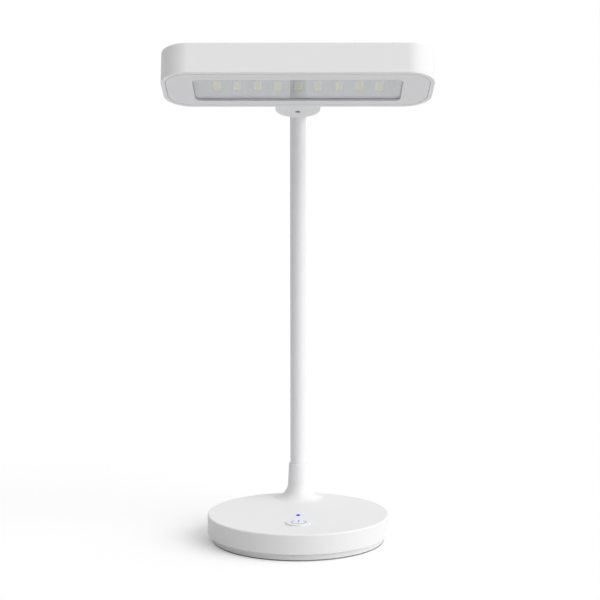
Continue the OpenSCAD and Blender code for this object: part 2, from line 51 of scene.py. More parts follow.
# Pieces are drawn in millimetres and scaled to metres when they settle on their body
mm = 0.001
roundSteps = 128       # segments of a full turn on the large round pieces
smallSteps = 48        # the same on pins, holes and screws
archSteps = 24         # segments of the neck's flare and of a lug's round end
cornerSteps = 20       # segments of a light bar corner
slotSteps = 12         # segments of a charging slot's corner
edgeSteps = 6          # segments of a rounded edge
ledSteps = 5           # segments of an LED's corner
over = 1.0             # how far a cutter reaches past what it cuts
inward = 6.0           # where an open path ends whose end only gives a direction
leastCorner = 0.05     # no corner of a rectangle gets smaller than this
weldGap = 1e-4         # points closer than this become one
sharpAngle = math.radians(38)


def boxOf(node):
    low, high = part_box(node)
    return low / mm, high / mm


# The light bar's own axes: the origin is on the hinge, x across, y back, z up and square to its underside
lightBarPlace = {"tilt": 19}
hingeSpot = Vector(next(j for j in frame["joints"] if j["name"] == "head_tilt")["pos_m"]) / mm
headPlace = Matrix.Translation(hingeSpot) @ Matrix.Rotation(-math.radians(lightBarPlace["tilt"]), 4, "X")


def headBox(node):
    toHead = headPlace.inverted()
    spots = [toHead @ (v.co / mm) for v in nodes[node].data.vertices]
    low = Vector([min(s[k] for s in spots) for k in range(3)])
    high = Vector([max(s[k] for s in spots) for k in range(3)])
    return low, high


# Shapes

def roundedPath(corners, closed=True, steps=edgeSteps):
    # corners are (a, b, radius); an open path keeps its two ends as they are
    points = []
    count = len(corners)
    for i, (a, b, radius) in enumerate(corners):
        here = Vector((a, b))
        atEnd = not closed and i in (0, count - 1)
        if atEnd or radius <= 0:
            points.append(here)
            continue
        before = (Vector(corners[i - 1][:2]) - here).normalized()
        after = (Vector(corners[(i + 1) % count][:2]) - here).normalized()
        half = before.angle(after) / 2
        centre = here + (before + after).normalized() * radius / math.sin(half)
        start = here + before * radius / math.tan(half) - centre
        finish = here + after * radius / math.tan(half) - centre
        first = math.atan2(start.y, start.x)
        turn = math.atan2(finish.y, finish.x) - first
        turn = (turn + math.pi) % (2 * math.pi) - math.pi
        for k in range(steps + 1):
            angle = first + turn * k / steps
            points.append(centre + radius * Vector((math.cos(angle), math.sin(angle))))
    return points


def skin(rings, closed=False):
    # walls between rings of points; an open stack gets a cap at each end
    bm = bmesh.new()
    loops = [[bm.verts.new(p) for p in ring] for ring in rings]
    pairs = list(zip(loops, loops[1:]))
    if closed:
        pairs.append((loops[-1], loops[0]))
    for lower, upper in pairs:
        for i in range(len(lower)):
            j = (i + 1) % len(lower)
            bm.faces.new((lower[i], lower[j], upper[j], upper[i]))
    if not closed:
        bm.faces.new(loops[0][::-1])
        bm.faces.new(loops[-1])
    return blank(bm)


def blank(bm):
    # a loose work object in millimetres
    bmesh.ops.remove_doubles(bm, verts=bm.verts, dist=weldGap)
    bmesh.ops.recalc_face_normals(bm, faces=bm.faces)
    mesh = bpy.data.meshes.new("blank")
    bm.to_mesh(mesh)
    bm.free()
    obj = bpy.data.objects.new("blank", mesh)
    bpy.context.scene.collection.objects.link(obj)
    return obj


def turned(path, middle=(0, 0), closed=False, steps=roundSteps):
    # path of (radius, height) turned about an upright axis
    angles = [2 * math.pi * i / steps for i in range(steps)]
    return skin([[(middle[0] + r * math.cos(t), middle[1] + r * math.sin(t), z) for t in angles]
                 for r, z in path], closed)


def turnedAcross(path, middle=(0, 0, 0), closed=False, steps=smallSteps):
    # path of (radius, x) turned about an axis along X
    angles = [2 * math.pi * i / steps for i in range(steps)]
    return skin([[(middle[0] + x, middle[1] + r * math.cos(t), middle[2] + r * math.sin(t)) for t in angles]
                 for r, x in path], closed)


def rectLoop(width, depth, radius, middle, height, steps=cornerSteps):
    points = []
    for k, (sx, sy) in enumerate(((1, 1), (-1, 1), (-1, -1), (1, -1))):
        cx = middle[0] + sx * (width / 2 - radius)
        cy = middle[1] + sy * (depth / 2 - radius)
        for i in range(steps + 1):
            angle = (k + i / steps) * math.pi / 2
            points.append((cx + radius * math.cos(angle), cy + radius * math.sin(angle), height))
    return points


def rectStack(path, width, depth, radius, middle=(0, 0), steps=cornerSteps):
    # path of (inset, height) carried round a rectangle with round corners
    return [rectLoop(width - 2 * inset, depth - 2 * inset, max(radius - inset, leastCorner), middle, z, steps)
            for inset, z in path]


def tonguePlan(width, start, end, inset, height, steps=cornerSteps * 2):
    # straight sides from start, closed by a half round that ends at end
    r = width / 2
    points = [(r - inset, start + inset, height)]
    for i in range(steps + 1):
        angle = math.pi * i / steps
        points.append(((r - inset) * math.cos(angle), end - r + (r - inset) * math.sin(angle), height))
    points.append((inset - r, start + inset, height))
    return points


def joined(parts):
    # work objects that don't touch, as one
    bm = bmesh.new()
    for part in parts:
        bm.from_mesh(part.data)
        bpy.data.objects.remove(part)
    return blank(bm)


def carve(obj, tools, operation):
    # joins the tools to the work object or cuts them from it
    for tool in tools:
        step = obj.modifiers.new("carve", "BOOLEAN")
        step.operation = operation
        step.solver = "EXACT"
        step.object = tool
    bake(obj)
    for tool in tools:
        bpy.data.objects.remove(tool)
    return obj


def bake(obj):
    # turns the modifiers' result into the object's plain mesh
    bpy.context.view_layer.update()
    shown = obj.evaluated_get(bpy.context.evaluated_depsgraph_get())
    mesh = bpy.data.meshes.new_from_object(shown)
    obj.modifiers.clear()
    obj.data = mesh
    return obj


def settle(obj, name, material, body, replaced=(), place=None):
    # scales the work object to metres, smooths its shading and hands it to its body
    mesh = obj.data
    if place is not None:
        mesh.transform(place)
    mesh.transform(Matrix.Scale(mm, 4))
    mesh.materials.clear()
    mesh.materials.append(material)
    mesh.shade_smooth()
    mesh.set_sharp_from_angle(angle=sharpAngle)
    flatten = obj.modifiers.new("flatten", "WEIGHTED_NORMAL")
    flatten.keep_sharp = True
    bake(obj)
    obj.name = name
    obj.data.name = name
    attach(obj, body)
    if replaced:
        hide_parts(*replaced)


# Geometry Nodes for what repeats

def copiesTree(name, *inputs):
    tree = bpy.data.node_groups.new(name, "GeometryNodeTree")
    for label, kind in (("Geometry", "Geometry"), *inputs, ("Material", "Material")):
        tree.interface.new_socket(label, in_out="INPUT", socket_type="NodeSocket" + kind)
    tree.interface.new_socket("Geometry", in_out="OUTPUT", socket_type="NodeSocketGeometry")
    given = tree.nodes.new("NodeGroupInput")
    copies = tree.nodes.new("GeometryNodeInstanceOnPoints")
    real = tree.nodes.new("GeometryNodeRealizeInstances")
    coat = tree.nodes.new("GeometryNodeSetMaterial")
    out = tree.nodes.new("NodeGroupOutput")
    link = tree.links.new
    link(given.outputs["Geometry"], copies.inputs["Instance"])
    link(copies.outputs["Instances"], real.inputs["Geometry"])
    link(given.outputs["Material"], coat.inputs["Material"])
    link(coat.outputs["Geometry"], out.inputs["Geometry"])
    return tree, given, copies, real, coat


def mathNode(tree, operation, a, b):
    node = tree.nodes.new("ShaderNodeMath")
    node.operation = operation
    for socket, value in zip(node.inputs, (a, b)):
        if isinstance(value, bpy.types.NodeSocket):
            tree.links.new(value, socket)
        else:
            socket.default_value = value
    return node.outputs[0]


def rowTree():
    # copies of the given mesh in a row along X, centred
    tree, given, copies, real, coat = copiesTree("rowOfCopies", ("Count", "Int"), ("Pitch", "Float"))
    link = tree.links.new
    row = tree.nodes.new("GeometryNodeMeshLine")
    offset = tree.nodes.new("ShaderNodeCombineXYZ")
    start = tree.nodes.new("ShaderNodeCombineXYZ")
    gaps = mathNode(tree, "SUBTRACT", given.outputs["Count"], 1.0)
    reach = mathNode(tree, "MULTIPLY", gaps, given.outputs["Pitch"])
    link(mathNode(tree, "MULTIPLY", reach, -0.5), start.inputs["X"])
    link(given.outputs["Pitch"], offset.inputs["X"])
    link(given.outputs["Count"], row.inputs["Count"])
    link(start.outputs[0], row.inputs["Start Location"])
    link(offset.outputs[0], row.inputs["Offset"])
    link(row.outputs["Mesh"], copies.inputs["Points"])
    link(real.outputs["Geometry"], coat.inputs["Geometry"])
    return tree


def ringTree():
    # copies of the given mesh on a circle about Z; Turn is the angle of the first one
    tree, given, copies, real, coat = copiesTree("ringOfCopies", ("Count", "Int"), ("Radius", "Float"),
                                                 ("Turn", "Float"))
    link = tree.links.new
    ring = tree.nodes.new("GeometryNodeMeshCircle")
    turn = tree.nodes.new("ShaderNodeCombineXYZ")
    swing = tree.nodes.new("GeometryNodeTransform")
    link(given.outputs["Count"], ring.inputs["Vertices"])
    link(given.outputs["Radius"], ring.inputs["Radius"])
    link(given.outputs["Turn"], turn.inputs["Z"])
    link(ring.outputs["Mesh"], copies.inputs["Points"])
    link(real.outputs["Geometry"], swing.inputs["Geometry"])
    link(turn.outputs[0], swing.inputs["Rotation"])
    link(swing.outputs["Geometry"], coat.inputs["Geometry"])
    return tree


def repeat(obj, tree, material, **values):
    # grows the work object by a tree; inputs are set by their identifiers before it is evaluated
    grow = obj.modifiers.new(tree.name, "NODES")
    grow.node_group = tree
    values["Material"] = material
    for item in tree.interface.items_tree:
        if item.in_out == "INPUT" and item.name in values:
            grow[item.identifier] = values[item.name]
    return bake(obj)


copiesInRow = rowTree()
copiesInRing = ringTree()


# Materials

grainLook = {"detail": 3, "driftScale": 38, "driftDetail": 2, "bump": 0.35}
marksLook = {"distortion": 1.5, "mottleScale": 260, "mottle": 0.3, "bump": 0.3}
clearLook = {"tone": (0.97, 0.98, 0.98, 1), "index": 1.58, "waveScale": 45, "haze": 0.03}
litLook = {"gloss": 0.25, "grain": 1800.0, "depth": 0.005, "drift": 0.08}
boardLook = {"scale": 60, "trackWide": 0.015, "bump": 0.2, "depth": 0.03}


def colour(red, green, blue):
    # display values of 0 to 255 as linear colour
    def linear(c):
        c = c / 255
        return c / 12.92 if c <= 0.04045 else ((c + 0.055) / 1.055) ** 2.4
    return (linear(red), linear(green), linear(blue), 1)


def setInputs(node, values):
    for label, value in values.items():
        node.inputs[label].default_value = value
    return node


def effectGroup(name, *inputs):
    # every effect gives a colour, a roughness and a height
    group = bpy.data.node_groups.new(name, "ShaderNodeTree")
    for label, kind, value in inputs:
        socket = group.interface.new_socket(label, in_out="INPUT", socket_type="NodeSocket" + kind)
        if value is not None:
            socket.default_value = value
    for label, kind in (("Color", "Color"), ("Roughness", "Float"), ("Height", "Float")):
        group.interface.new_socket(label, in_out="OUTPUT", socket_type="NodeSocket" + kind)
    return group, group.nodes.new("NodeGroupInput"), group.nodes.new("NodeGroupOutput")


def liftTone(group, given, out, lift):
    # the given tone, made brighter or darker by lift
    tone = group.nodes.new("ShaderNodeHueSaturation")
    group.links.new(given.outputs["Tone"], tone.inputs["Color"])
    group.links.new(mathNode(group, "ADD", lift, 1.0), tone.inputs["Value"])
    group.links.new(tone.outputs["Color"], out.inputs["Color"])


def mouldSkinGroup():
    # fine even grain of a textured mould, a slow drift in tone and in gloss
    p = grainLook
    group, given, out = effectGroup(
        "mouldSkin", ("Vector", "Vector", None), ("Tone", "Color", (0.8, 0.8, 0.8, 1)),
        ("Grain", "Float", 2500.0), ("Drift", "Float", 0.02), ("Gloss", "Float", 0.45),
        ("Gloss Drift", "Float", 0.06))
    link = group.links.new
    grain = setInputs(group.nodes.new("ShaderNodeTexNoise"), {"Detail": p["detail"]})
    slow = setInputs(group.nodes.new("ShaderNodeTexNoise"), {"Scale": p["driftScale"], "Detail": p["driftDetail"]})
    link(given.outputs["Vector"], grain.inputs["Vector"])
    link(given.outputs["Vector"], slow.inputs["Vector"])
    link(given.outputs["Grain"], grain.inputs["Scale"])
    centred = mathNode(group, "SUBTRACT", slow.outputs["Fac"], 0.5)
    liftTone(group, given, out, mathNode(group, "MULTIPLY", centred, given.outputs["Drift"]))
    shine = mathNode(group, "MULTIPLY", centred, given.outputs["Gloss Drift"])
    link(mathNode(group, "ADD", shine, given.outputs["Gloss"]), out.inputs["Roughness"])
    link(grain.outputs["Fac"], out.inputs["Height"])
    return group


def turnedSteelGroup():
    # fine tool marks round an axis, with a soft mottle in tone and in gloss
    p = marksLook
    group, given, out = effectGroup(
        "toolMarks", ("Vector", "Vector", None), ("Tone", "Color", (0.6, 0.6, 0.6, 1)),
        ("Lines", "Float", 900.0), ("Gloss", "Float", 0.3))
    link = group.links.new
    marks = group.nodes.new("ShaderNodeTexWave")
    marks.wave_type = "RINGS"
    marks.rings_direction = "Z"
    setInputs(marks, {"Distortion": p["distortion"]})
    mottle = setInputs(group.nodes.new("ShaderNodeTexNoise"), {"Scale": p["mottleScale"]})
    link(given.outputs["Vector"], marks.inputs["Vector"])
    link(given.outputs["Vector"], mottle.inputs["Vector"])
    link(given.outputs["Lines"], marks.inputs["Scale"])
    centred = mathNode(group, "SUBTRACT", mottle.outputs["Fac"], 0.5)
    uneven = mathNode(group, "MULTIPLY", centred, p["mottle"])
    liftTone(group, given, out, uneven)
    link(mathNode(group, "ADD", uneven, given.outputs["Gloss"]), out.inputs["Roughness"])
    link(marks.outputs["Fac"], out.inputs["Height"])
    return group


mouldSkin = mouldSkinGroup()
toolMarks = turnedSteelGroup()


def newMaterial(name):
    # comes with its Principled shader and the object coordinates
    material = bpy.data.materials.new(name)
    material.use_nodes = True
    tree = material.node_tree
    place = tree.nodes.new("ShaderNodeTexCoord")
    return material, tree, tree.nodes["Principled BSDF"], place.outputs["Object"]


def addRelief(tree, shader, height, strength, depth):
    relief = setInputs(tree.nodes.new("ShaderNodeBump"), {"Strength": strength, "Distance": depth * mm})
    tree.links.new(height, relief.inputs["Height"])
    tree.links.new(relief.outputs["Normal"], shader.inputs["Normal"])


def skinMaterial(name, effect, bump, depth, values, **constants):
    # a Principled shader fed by one of the effects; constants go on the shader's own sockets
    material, tree, shader, place = newMaterial(name)
    look = tree.nodes.new("ShaderNodeGroup")
    look.node_tree = effect
    setInputs(look, values)
    setInputs(shader, constants)
    tree.links.new(place, look.inputs["Vector"])
    tree.links.new(look.outputs["Color"], shader.inputs["Base Color"])
    tree.links.new(look.outputs["Roughness"], shader.inputs["Roughness"])
    addRelief(tree, shader, look.outputs["Height"], bump, depth)
    return material


def plastic(name, tone, gloss=0.45, grain=2500.0, depth=0.02, drift=0.02, **constants):
    values = {"Tone": tone, "Grain": grain, "Drift": drift, "Gloss": gloss}
    return skinMaterial(name, mouldSkin, grainLook["bump"], depth, values, **constants)


def metal(name, tone, gloss=0.3, lines=900.0, depth=0.01):
    values = {"Tone": tone, "Lines": lines, "Gloss": gloss}
    return skinMaterial(name, toolMarks, marksLook["bump"], depth, values, Metallic=1.0)


def clearMaterial():
    # moulded clear window with a dust-fine haze
    p = clearLook
    material, tree, shader, place = newMaterial("clearWindow")
    setInputs(shader, {"Base Color": p["tone"], "Transmission Weight": 1.0, "IOR": p["index"]})
    wave = setInputs(tree.nodes.new("ShaderNodeTexNoise"), {"Scale": p["waveScale"]})
    haze = setInputs(tree.nodes.new("ShaderNodeMapRange"), {"To Max": p["haze"]})
    tree.links.new(place, wave.inputs["Vector"])
    tree.links.new(wave.outputs["Fac"], haze.inputs["Value"])
    tree.links.new(haze.outputs["Result"], shader.inputs["Roughness"])
    return material


def litMaterial(name, tone, glow, sheen):
    # tinted light pipe with a slightly uneven glow
    material = plastic(name, tone, **litLook)
    tree = material.node_tree
    shader = tree.nodes["Principled BSDF"]
    look = next(n for n in tree.nodes if n.type == "GROUP")
    tree.links.new(look.outputs["Color"], shader.inputs["Emission Color"])
    setInputs(shader, {"Emission Strength": glow, "Specular IOR Level": sheen})
    return material


def boardMaterial(name, mask, line, gloss):
    # solder mask over straight tracks
    p = boardLook
    material, tree, shader, place = newMaterial(name)
    tracks = setInputs(tree.nodes.new("ShaderNodeTexBrick"),
                       {"Color1": mask, "Color2": mask, "Mortar": line, "Scale": p["scale"],
                        "Mortar Size": p["trackWide"]})
    setInputs(shader, {"Roughness": gloss})
    tree.links.new(place, tracks.inputs["Vector"])
    tree.links.new(tracks.outputs["Color"], shader.inputs["Base Color"])
    addRelief(tree, shader, tracks.outputs["Fac"], p["bump"], p["depth"])
    return material


shellWhite = plastic("shellWhite", colour(240, 240, 241), gloss=0.5)
# paler than the shell: painted light that lifts the foot's band, which sits in the shell's shade
plateWhitePaintedLight = plastic("plateWhitePaintedLight", colour(247, 247, 247), gloss=0.5)
panelWhite = plastic("panelWhite", colour(234, 234, 236), gloss=0.5, grain=3200.0)
poleWhite = plastic("poleWhite", colour(240, 240, 242), gloss=0.4, grain=900.0, depth=0.03)
buttonWhite = plastic("buttonWhite", colour(240, 240, 240), gloss=0.42, grain=3600.0)
footRubber = plastic("footRubber", colour(88, 88, 90), gloss=0.8, grain=1400.0, depth=0.06, drift=0.1)
switchBlack = plastic("switchBlack", colour(34, 34, 36), gloss=0.4)
leadGrey = plastic("leadGrey", colour(150, 150, 152), gloss=0.5)
frictionGrey = plastic("frictionGrey", colour(96, 96, 98), gloss=0.55, grain=1500.0)
ledBody = plastic("ledBody", colour(241, 245, 248), gloss=0.35, grain=2600.0)
phosphorCoat = plastic("phosphorCoat", colour(240, 231, 190), gloss=0.6, grain=5200.0, depth=0.05, drift=0.1)
cellFoil = plastic("cellFoil", colour(176, 188, 206), gloss=0.3, grain=420.0, depth=0.08, Metallic=0.7)
plainSteel = metal("plainSteel", colour(196, 196, 198), gloss=0.28)
darkSteel = metal("darkSteel", colour(70, 70, 72), gloss=0.4)
ballastIron = metal("ballastIron", colour(108, 112, 118), gloss=0.55, lines=300.0, depth=0.03)
brassTurned = metal("brassTurned", colour(206, 176, 104), gloss=0.3)
contactGold = metal("contactGold", colour(226, 190, 110), gloss=0.2)
boardGreen = boardMaterial("boardGreen", colour(28, 84, 48), colour(52, 118, 72), 0.4)
boardWhite = boardMaterial("boardWhite", colour(230, 231, 232), colour(226, 227, 229), 0.45)
sheetWhite = plastic("sheetWhite", colour(216, 217, 220), gloss=0.55, grain=3000.0)
clearWindow = clearMaterial()
indicatorBlue = litMaterial("indicatorBlue", colour(14, 24, 198), 0.5, 0.08)
markBlue = litMaterial("markBlue", colour(112, 158, 236), 0.06, 0.2)
print("materials made")


# Base shell with its neck, holes and charging port

baseShell = {"height": 13.77, "wall": 2.0, "roof": 2.87, "lipDrop": 0.27, "topRound": 1.1, "lipRound": 0.25,
             "lipInside": 0.2, "ceilingRound": 0.3, "neckWall": 1.1, "neckTaper": 1.2, "neckFlare": 12.0,
             "neckRound": 0.6, "poleGap": 0.05, "boreRound": 0.4, "buttonGap": 0.15, "dotGap": 0.1,
             "dotFront": 2.0, "holeRound": 0.25, "holeShort": 0.005, "hubRound": 9.0, "hubDrop": 2.8,
             "wayRound": 4.1}
buttonShape = {"flange": 1.6, "flangeThick": 1.1, "edge": 0.5, "corner": 0.1, "hiddenEdge": 0.2, "stem": 2.55,
               "rise": 0.55, "front": 0.7, "across": 0.45}
usbShape = {"angle": 112, "width": 9.0, "height": 3.2, "depth": 7.4, "wall": 0.35, "edge": 0.12, "gap": 0.25,
            "sink": 0.5, "endFlat": 0.1, "wayDeep": 4.0, "mouthRound": 0.3, "mouthBow": 0.3, "mouthProud": 0.05}
baseLow, baseHigh = boxOf("base_body")
poleLow, poleHigh = boxOf("pole")
buttonLow, buttonHigh = boxOf("power_button")
dotLow, dotHigh = boxOf("indicator_lens")
socketLow, socketHigh = boxOf("usb_socket")
baseRound = baseHigh.x
shellBottom = baseLow.z
baseTop = shellBottom + baseShell["height"]
ceiling = baseTop - baseShell["roof"]
poleRound = poleHigh.x
poleSpot = (0, (poleLow.y + poleHigh.y) / 2)
dotSpot = (0, (dotLow.y + dotHigh.y) / 2 - baseShell["dotFront"])
buttonSpot = (buttonShape["across"], (buttonLow.y + buttonHigh.y) / 2 - buttonShape["front"])
buttonRound = buttonHigh.x - buttonShape["flange"]
buttonTop = buttonHigh.z + buttonShape["rise"]
# the charging socket is drawn upright, then laid so that its top looks out of the base
portPlace = (Matrix.Rotation(math.radians(usbShape["angle"] - 90), 4, "Z")
             @ Matrix.Translation((0, baseRound, (socketLow.z + socketHigh.z) / 2))
             @ Matrix.Rotation(-math.pi / 2, 4, "X"))


def flaredHole(radius, spot, lip):
    # a cutter for the base's top, whose mouth widens to a rounded edge just short of the surface
    high = baseTop - baseShell["holeShort"]
    path = [(radius, ceiling - over)]
    for k in range(edgeSteps + 1):
        angle = math.pi / 2 * k / edgeSteps
        path.append((radius + lip * (1 - math.cos(angle)), high - lip * (1 - math.sin(angle))))
    path.append((radius + lip, high + 2 * over))
    return turned(path, spot, steps=smallSteps * 2)


def neckPath(p):
    # the pole's bore, the rim, a slight taper and the flare that runs out into the base's top
    low, high, flare = baseTop, baseHigh.z, p["neckFlare"]
    bore = poleRound + p["poleGap"]
    top = poleRound + p["neckWall"]
    lean = math.atan(p["neckTaper"] / (high - low))
    middle = top + p["neckTaper"] * (high - low - flare) / (high - low) + flare / math.cos(lean)
    arc = []
    for k in range(archSteps + 1):
        angle = math.pi + lean + k / archSteps * (math.pi / 2 - lean)
        arc.append((middle + flare * math.cos(angle), low + flare + flare * math.sin(angle)))
    rim = roundedPath(((bore, poleLow.z, 0), (bore, high, p["boreRound"]), (top, high, p["neckRound"]),
                       (*arc[0], 0)), False)
    return rim[:-1] + arc


def rimReach(radius, angle):
    # from the pole's axis to the circle of that radius about the base's middle
    along = poleSpot[0] * math.cos(angle) + poleSpot[1] * math.sin(angle)
    return math.sqrt(along ** 2 - poleSpot[0] ** 2 - poleSpot[1] ** 2 + radius ** 2) - along


def portCutter():
    # rounded slot with a soft mouth
    p = usbShape
    w = p["width"] + 2 * p["gap"]
    h = p["height"] + 2 * p["gap"]
    lip = p["mouthRound"]
    bow = lip * p["mouthBow"]
    path = [(0, -p["wayDeep"]), (0, -lip), (-bow, -bow), (-lip, p["mouthProud"]), (-lip, 2 * over)]
    slot = skin(rectStack(path, w, h, h / 2 - p["endFlat"], steps=slotSteps))
    slot.data.transform(portPlace)
    return slot


def makeBaseShell():
    # one closed skin: every ring has its points on the same rays from the pole's axis
    p = baseShell
    cavity = baseRound - p["wall"]
    lip = shellBottom - p["lipDrop"]
    neck = neckPath(p)
    hubLow = ceiling - p["hubDrop"]
    hub = [(p["hubRound"], ceiling), (p["hubRound"], hubLow), (p["wayRound"], hubLow), (p["wayRound"], poleLow.z)]
    wall = roundedPath(((baseRound / 2, baseTop, 0), (baseRound, baseTop, p["topRound"]),
                        (baseRound, lip, p["lipRound"]), (cavity, lip, p["lipInside"]),
                        (cavity, ceiling, p["ceilingRound"]), (baseRound / 2, ceiling, 0)), False)[1:-1]
    flareRound, flareTop = neck[-1][0], baseTop + p["neckFlare"]
    rays = []
    steps = roundSteps * 2
    for i in range(steps):
        angle = 2 * math.pi * i / steps
        edge = rimReach(baseRound - p["topRound"], angle)     # the flare ends where the top's rounding begins
        short = max(flareRound - edge, 0)
        lift = flareTop - math.sqrt(p["neckFlare"] ** 2 - short ** 2) - baseTop
        ray = [(r, z) if r < edge else (edge, baseTop + lift) for r, z in neck]
        for r, z in wall:
            fade = max(z - baseTop + p["topRound"], 0) / p["topRound"]
            ray.append((rimReach(r, angle), z + lift * fade))
        rays.append([(poleSpot[0] + r * math.cos(angle), poleSpot[1] + r * math.sin(angle), z)
                     for r, z in ray + hub])
    shell = skin(list(zip(*rays)), True)
    button = flaredHole(buttonRound + p["buttonGap"], buttonSpot, p["holeRound"])
    dot = flaredHole(dotHigh.x + p["dotGap"], dotSpot, p["holeRound"] / 2)
    carve(shell, [joined([button, dot, portCutter()])], "DIFFERENCE")
    settle(shell, "baseShell", shellWhite, "stand", ("base_body",))


makeBaseShell()
print("base shell made")


# Base plate with its foot, rubber ring and screws

baseFoot = {"inset": 3.65, "drop": 0.25, "floor": 1.9, "flangeRise": 2.0, "edge": 0.2, "stepRound": 0.15,
            "flangeRound": 0.3, "floorRound": 0.8, "columnRound": 4.0, "columnSink": 0.4, "boreRound": 1.6,
            "headRound": 2.9, "screws": 4, "screwRing": 56.0, "screwTurn": 45}
ringShape = {"width": 12.5, "edge": 0.15, "hiddenEdge": 0.1, "gap": 0.2}
screwShape = {"headRound": 2.8, "headRise": 2.0, "shank": 1.5, "edge": 0.35, "seatEdge": 0.1, "tip": 0.4,
              "slotWide": 0.9, "slotLong": 3.4, "slotDeep": 1.1, "slotTaper": 0.12}
plateLow, plateHigh = boxOf("base_plate")
padLow, padHigh = boxOf("foot_pad")
screwLow, screwHigh = boxOf("base_screws")


def makeScrew(p, head, low, seat, high):
    # stands on its head, with a cross recess in it
    shank = p["shank"]
    path = roundedPath(((head / 2, low, 0), (head, low, p["edge"]), (head, seat, p["seatEdge"]),
                        (shank, seat, 0), (shank, high, p["tip"]), (shank / 3, high, 0)), False)
    cut = ((0, low - over), (p["slotTaper"], low + p["slotDeep"]))
    bars = [skin(rectStack(cut, w, d, p["slotWide"] / 3, steps=4))
            for w, d in ((p["slotLong"], p["slotWide"]), (p["slotWide"], p["slotLong"]))]
    return carve(turned(path, steps=smallSteps), bars, "DIFFERENCE")


def ringOf(obj, material):
    p = baseFoot
    return repeat(obj, copiesInRing, material, Count=p["screws"], Radius=p["screwRing"],
                  Turn=math.radians(p["screwTurn"]))


def makeBaseFoot():
    p = baseFoot
    foot = baseRound - p["inset"]
    inner = foot - p["floor"] / 2
    low = plateLow.z - p["drop"]
    floorTop = plateLow.z + p["floor"]
    flange = plateHigh.x
    flangeTop = shellBottom + p["flangeRise"]
    grooveIn = padHigh.x - ringShape["width"] - ringShape["gap"]
    grooveOut = padHigh.x + ringShape["gap"]
    section = roundedPath(((foot / 2, low, 0), (grooveIn, low, p["stepRound"]), (grooveIn, padHigh.z, 0),
                           (grooveOut, padHigh.z, 0), (grooveOut, low, p["stepRound"]), (foot, low, p["edge"]),
                           (foot, shellBottom, p["stepRound"]), (flange, shellBottom, p["edge"]),
                           (flange, flangeTop, p["flangeRound"]), (inner, flangeTop, p["flangeRound"]),
                           (inner, floorTop, p["floorRound"]), (foot / 2, floorTop, 0)), False)
    plate = turned(section)
    column = turned(((p["columnRound"], floorTop - p["columnSink"]), (p["columnRound"], plateHigh.z)),
                    steps=smallSteps)
    carve(plate, [ringOf(column, plateWhitePaintedLight)], "UNION")
    seat = screwLow.z + screwShape["headRise"]
    bore = turned(((p["headRound"], plateLow.z - over), (p["headRound"], seat), (p["boreRound"], seat),
                   (p["boreRound"], plateHigh.z + over)), steps=smallSteps)
    carve(plate, [ringOf(bore, plateWhitePaintedLight)], "DIFFERENCE")
    settle(plate, "baseFoot", plateWhitePaintedLight, "stand", ("base_plate",))


def makeFootRing():
    p = ringShape
    outer = padHigh.x
    bore = outer - p["width"]
    path = roundedPath(((bore, padLow.z, p["edge"]), (outer, padLow.z, p["edge"]),
                        (outer, padHigh.z, p["hiddenEdge"]), (bore, padHigh.z, p["hiddenEdge"])))
    settle(turned(path, closed=True), "footRing", footRubber, "stand", ("foot_pad",))


def makeBaseScrews():
    p = screwShape
    screw = makeScrew(p, p["headRound"], screwLow.z, screwLow.z + p["headRise"], screwHigh.z)
    settle(ringOf(screw, plainSteel), "baseScrews", plainSteel, "stand", ("base_screws",))


makeBaseFoot()
makeFootRing()
makeBaseScrews()
print("base foot, rubber ring and screws made")


# Button with its lit sign, and the indicator

markShape = {"ring": 5.0, "stroke": 0.75, "barStroke": 1.0, "opening": 40, "barFrom": 0.8, "barTo": 5.2,
             "rise": 0.03, "sink": 0.3, "ringSteps": 72, "endSteps": 8}
indicatorShape = {"head": 1.4, "rise": 0.6, "edge": 0.2, "hiddenEdge": 0.1, "lapGap": 0.01}


def makeButton():
    p = buttonShape
    stem, flange = p["stem"], buttonHigh.x
    flangeLow = ceiling - p["flangeThick"]
    path = roundedPath(((buttonRound / 2, buttonTop, 0), (buttonRound, buttonTop, p["edge"]),
                        (buttonRound, ceiling, p["corner"]), (flange, ceiling, p["hiddenEdge"]),
                        (flange, flangeLow, p["hiddenEdge"]), (stem, flangeLow, 0),
                        (stem, buttonLow.z, p["hiddenEdge"]), (stem / 2, buttonLow.z, 0)), False)
    settle(turned(path, buttonSpot), "powerButton", buttonWhite, "button", ("power_button",))


def strokeLoop(points, width, endSteps):
    # outline of a stroke with round ends along a line of points
    half = width / 2
    sides = ([], [])
    for i, here in enumerate(points):
        ahead = points[min(i + 1, len(points) - 1)] - points[max(i - 1, 0)]
        normal = Vector((-ahead.y, ahead.x)).normalized()
        sides[0].append(here + normal * half)
        sides[1].append(here - normal * half)

    def cap(tip, start):
        first = math.atan2((start - tip).y, (start - tip).x)
        angles = [first - math.pi * k / endSteps for k in range(1, endSteps)]
        return [tip + half * Vector((math.cos(t), math.sin(t))) for t in angles]
    return sides[0] + cap(points[-1], sides[0][-1]) + sides[1][::-1] + cap(points[0], sides[1][0])


def makePowerMark():
    # the sign is set into the button's top: a ring that is open to the rear and a short bar
    p = markShape
    gap = math.radians(p["opening"])
    steps = p["ringSteps"]
    turn = [math.pi / 2 + gap + (2 * math.pi - 2 * gap) * k / steps for k in range(steps + 1)]
    arc = [Vector((math.cos(t), math.sin(t))) * p["ring"] for t in turn]
    bar = [Vector((0, p["barFrom"])), Vector((0, p["barTo"]))]
    low, high = buttonTop - p["sink"], buttonTop + p["rise"]
    strokes = []
    for line, stroke in ((arc, p["stroke"]), (bar, p["barStroke"])):
        loop = [(v.x + buttonSpot[0], v.y + buttonSpot[1]) for v in strokeLoop(line, stroke, p["endSteps"])]
        strokes.append(skin([[(x, y, z) for x, y in loop] for z in (low, high)]))
    mark = carve(strokes[0], [strokes[1]], "UNION")
    settle(mark, "powerMark", markBlue, "button")


